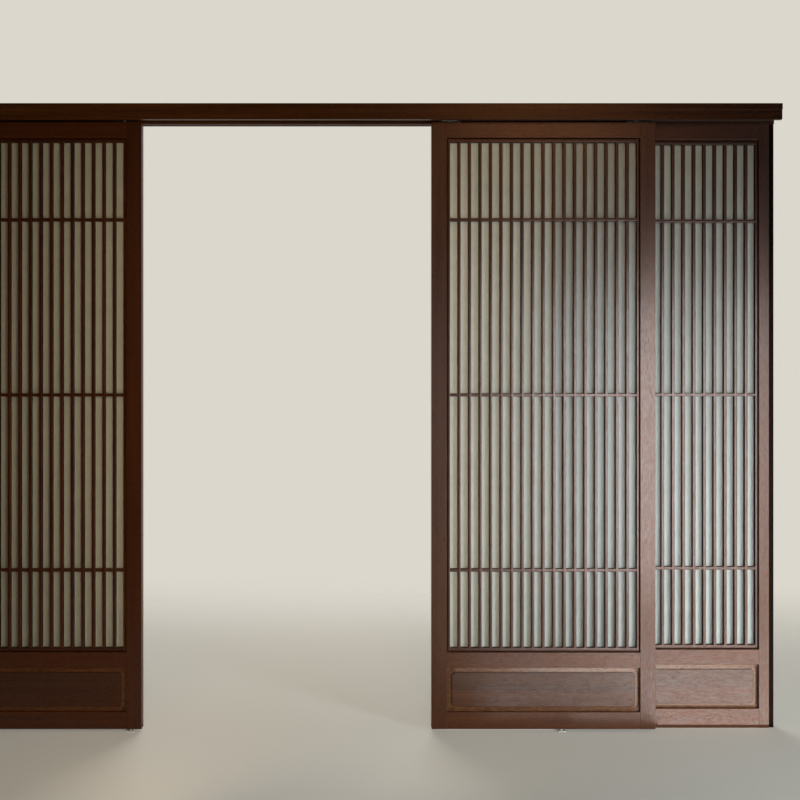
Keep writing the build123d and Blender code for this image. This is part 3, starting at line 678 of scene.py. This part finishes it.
# The dark bronze colour is painted shade for the dark gap under the head.
track_material, tree, shader = new_material(
    "aluminium_painted_dark_bronze", {"Base Color": linear("#4E4238"), "Metallic": 1.0}
)
where = add(tree, "ShaderNodeTexCoord").outputs["Object"]
drawn_out = add(
    tree, "ShaderNodeMapping", {"Vector": where, "Scale": (1 / die_line_length_ratio, 1, 1)}
).outputs[0]
die_lines = add(
    tree, "ShaderNodeTexNoise", {"Vector": drawn_out, "Scale": 1 / die_line_width}
).outputs["Fac"]
sheen = add(tree, "ShaderNodeMapRange", (die_lines, *wide_noise, *drawn_roughness)).outputs[0]
tree.links.new(sheen, shader.inputs["Roughness"])
finish_with(track_material, "track")

# Zinc-plated steel, of the screws, stops, carriages, plates, bolts and lock nuts. Stamped or turned, then
# barrel-plated, which leaves it grey and faintly clouded.
spangle_size = 4 * mm
plated_roughness = (0.28, 0.4)


def specked_material(name, sockets, speck_size, detail, stops):
    """A material whose colour wanders between tones in specks, and its tree, shader and specks."""
    material, tree, shader = new_material(name, sockets)
    where = add(tree, "ShaderNodeTexCoord").outputs["Object"]
    specks = add(
        tree, "ShaderNodeTexNoise", {"Vector": where, "Scale": 1 / speck_size, "Detail": detail}
    ).outputs["Fac"]
    tone = add(tree, "ShaderNodeValToRGB", {"Fac": specks}, stops=stops).outputs["Color"]
    tree.links.new(tone, shader.inputs["Base Color"])
    return material, tree, shader, specks


zinc_material, tree, shader, spangle = specked_material(
    "zinc_plated_steel", {"Metallic": 1.0}, spangle_size, 3.0, ((0.35, "#A7AAAE"), (0.65, "#BFC0C0"))
)
zinc_sheen = add(tree, "ShaderNodeMapRange", (spangle, *wide_noise, *plated_roughness)).outputs[0]
tree.links.new(zinc_sheen, shader.inputs["Roughness"])
finish_with(zinc_material, "track_screws", "track_stops")
for leaf in ("left_sliding", "right_sliding"):
    finish_with(zinc_material, f"{leaf}_carriages", f"{leaf}_hanger_plates", f"{leaf}_hanger_fasteners")

# Buffers. Moulded black rubber pads, glued to the faces of the stops, matt and slightly dusty.
dust_size = 5 * mm
rubber_material, *_ = specked_material(
    "moulded_rubber", {"Roughness": 0.85}, dust_size, 4.0, ((0.4, "#19191A"), (0.7, "#2B2A28"))
)
finish_with(rubber_material, "stop_buffers")

# Wheels and floor guides. The wheels are turned nylon and the guides moulded white acetal, both smooth with
# a soft shine and a fine grain from the mould.
mould_grain_size = 0.6 * mm
mould_grain_depth = 0.02 * mm
wheels = [f"{side}_sliding_wheels_{number}" for side in ("left", "right") for number in range(1, 5)]
for name, darker, paler, owners in (
    ("turned_nylon", "#DCDACE", "#E6E4DA", wheels),
    ("moulded_acetal", "#DEDEDA", "#E8E8E4", ["floor_guides"]),
):
    plastic, tree, shader, grain = specked_material(
        name, {"Roughness": 0.4}, mould_grain_size, 2.0, ((0.35, darker), (0.65, paler))
    )
    bump = add(tree, "ShaderNodeBump", {"Strength": 0.2, "Distance": mould_grain_depth, "Height": grain})
    tree.links.new(bump.outputs["Normal"], shader.inputs["Normal"])
    finish_with(plastic, *owners)

# Floor. It is plain, pale and matt, takes the door's shadow, and fades out sideways and in depth into the
# surroundings.
surroundings_colour = linear("#DBD7CD")
floor_reach = 12.0
floor_glow = 0.22
fade_start = 0.9
fade_end = 2.7
fade_depth_to_width = 0.5
floor_mesh = bpy.data.meshes.new("floor")
shape = bmesh.new()
bmesh.ops.create_grid(shape, x_segments=1, y_segments=1, size=floor_reach)
shape.to_mesh(floor_mesh)
shape.free()
floor = bpy.data.objects.new("floor", floor_mesh)
bpy.context.scene.collection.objects.link(floor)


def seen_rays(tree):
    """1 for a ray that shows the surroundings, to the camera or in metal, varnish or sheets, and else 0."""
    path = add(tree, "ShaderNodeLightPath").outputs
    seen = path["Is Camera Ray"]
    for kind in ("Is Glossy Ray", "Is Transmission Ray"):
        seen = add(tree, "ShaderNodeMath", (seen, path[kind]), operation="MAXIMUM").outputs[0]
    return seen


floor_material, tree, shader = new_material(
    "pale_floor",
    {
        "Base Color": linear("#C4C4C0"),
        "Roughness": 0.9,
        "Specular IOR Level": 0.0,
        "Emission Color": surroundings_colour,
    },
)
glow = add(tree, "ShaderNodeMath", (seen_rays(tree), floor_glow), operation="MULTIPLY").outputs[0]
tree.links.new(glow, shader.inputs["Emission Strength"])
where = add(tree, "ShaderNodeTexCoord").outputs["Object"]
oval = add(tree, "ShaderNodeMapping", {"Vector": where, "Scale": (fade_depth_to_width, 1, 1)}).outputs[0]
distance = add(tree, "ShaderNodeVectorMath", (oval,), operation="LENGTH").outputs["Value"]
fade = add(
    tree, "ShaderNodeMapRange", (distance, fade_start, fade_end), interpolation_type="SMOOTHSTEP"
).outputs[0]
clear = add(tree, "ShaderNodeBsdfTransparent").outputs[0]
faded = add(tree, "ShaderNodeMixShader", (fade, shader.outputs["BSDF"], clear)).outputs[0]
output = next(node for node in tree.nodes if node.type == "OUTPUT_MATERIAL")
tree.links.new(faded, output.inputs["Surface"])
floor.data.materials.append(floor_material)

# Surroundings. The camera sees them plain and pale on all sides. In reflections they are pale behind the
# door and dim in front of it, and they light the door itself only weakly.
dim_in_front = linear("#332A20")
faint_light = (0.04, 0.03, 0.017, 1.0)
where_dim = -0.6
where_pale = 0.4
world = bpy.data.worlds.new("studio")
bpy.context.scene.world = world
world.use_nodes = True
tree = world.node_tree
tree.nodes.clear()
direction = add(tree, "ShaderNodeTexCoord").outputs["Generated"]
backward = add(tree, "ShaderNodeSeparateXYZ", (direction,)).outputs["Y"]
behind = add(
    tree, "ShaderNodeMapRange", (backward, where_dim, where_pale), interpolation_type="SMOOTHSTEP"
).outputs[0]
by_camera = add(tree, "ShaderNodeLightPath").outputs["Is Camera Ray"]
pale = add(tree, "ShaderNodeMath", (behind, by_camera), operation="MAXIMUM").outputs[0]
light = surroundings_colour
for share, otherwise in ((pale, dim_in_front), (seen_rays(tree), faint_light)):
    light = add(
        tree,
        "ShaderNodeMix",
        {mix_share: share, colour_a: otherwise, colour_b: light},
        data_type="RGBA",
    ).outputs[mixed_colour]
surroundings = add(tree, "ShaderNodeBackground", {"Color": light}).outputs[0]
add(tree, "ShaderNodeOutputWorld", {"Surface": surroundings})

# Lamps. Daylight comes low from the right, weak warm light from the left, from above and from the doorway,
# and a plain light from behind. Panels of sheen stand for the bright surfaces that the varnish reflects.
daylight = (0.89, 1.0, 1.01)
sheen_tint = (0.95, 1.0, 1.03)
warm = (1.0, 0.74, 0.45)
lamp_glow = (1.0, 0.5, 0.2)
cream = (1.0, 0.82, 0.6)
neutral = (1.0, 0.95, 0.88)
half_turn = math.pi


def soft_panel(lights, name, colour, radiance, middle, size, turn=0.0, tilt=0.0):
    """A rectangular area light. It faces +Y before it is tilted up and turned about the vertical.

    It lights surfaces, or it shows only as sheen in the varnish, or it shines only through the sheets."""
    width, height = size
    lamp = bpy.data.lights.new(name, "AREA")
    lamp.shape = "RECTANGLE"
    lamp.size = width
    lamp.size_y = height
    lamp.color = colour
    lamp.energy = radiance * math.pi * width * height
    holder = bpy.data.objects.new(name, lamp)
    holder.location = middle
    holder.rotation_euler = (quarter_turn + tilt, 0, turn)
    holder.visible_camera = False
    holder.visible_diffuse = lights == "surfaces"
    holder.visible_glossy = lights == "sheen"
    holder.visible_transmission = lights == "through"
    bpy.context.scene.collection.objects.link(holder)


soft_panel("surfaces", "window_light", daylight, 69.0, (3.7, -2.5, 0.55), (0.9, 1.1), turn=1.07, tilt=-1.05)
soft_panel("sheen", "window_sheen", sheen_tint, 12.5, (1.5, -1.0, 1.02), (1.2, 1.5))
just_over_floor = 12 * mm
for name, radiance, x, y, size in (
    ("floor_sheen_left", 2.9, 0.75, -0.63, (0.34, 0.95)),
    ("floor_sheen_middle", 3.3, 1.08, -0.6, (0.32, 1.01)),
    ("floor_sheen_right", 7.6, 2.225, -0.545, (1.97, 1.12)),
):
    soft_panel("sheen", name, sheen_tint, radiance, (x, y, just_over_floor), size, tilt=quarter_turn)
soft_panel("sheen", "side_sheen", sheen_tint, 12.0, (3.0, -0.9, 0.9), (1.2, 1.7), turn=quarter_turn)
soft_panel("sheen", "upper_sheen", lamp_glow, 2.7, (1.0, -1.0, 2.7), (0.8, 0.5))
soft_panel("surfaces", "left_fill", warm, 2.0, (-1.8, -3.2, 2.2), (1.6, 1.0), turn=0.2, tilt=-0.3)
soft_panel("surfaces", "opening_fill", warm, 2.1, (-0.6, -0.7, 1.3), (0.3, 2.2), turn=0.5)
soft_panel("surfaces", "leaf_edge_fill", cream, 1.9, (0.36, -0.6, 1.3), (0.2, 2.2))
soft_panel("surfaces", "upper_light", warm, 1.5, (0.75, -0.7, 2.52), (1.3, 0.2), tilt=-0.5)
soft_panel("surfaces", "back_fill", neutral, 6.5, (0.0, 3.4, 2.3), (3.4, 1.6), turn=half_turn, tilt=-0.35)
soft_panel("through", "light_through", cream, 2.2, (0.45, 1.2, 1.1), (0.9, 2.2), turn=half_turn)

# Camera. It stands where the photograph was taken from, level, at eye height and just right of the middle.
# The shift gives the photograph's framing.
camera_data = bpy.data.cameras.new("camera")
camera_data.sensor_width = 36.0
camera_data.lens = 37.8
camera_data.shift_x = 0.0575
camera_data.shift_y = -0.0425
camera = bpy.data.objects.new("camera", camera_data)
camera.location = (0.0318, -3.3195, 1.437)
camera.rotation_euler = (quarter_turn, 0, 0)
bpy.context.scene.collection.objects.link(camera)
bpy.context.scene.camera = camera
bpy.context.scene.view_settings.view_transform = "Standard"
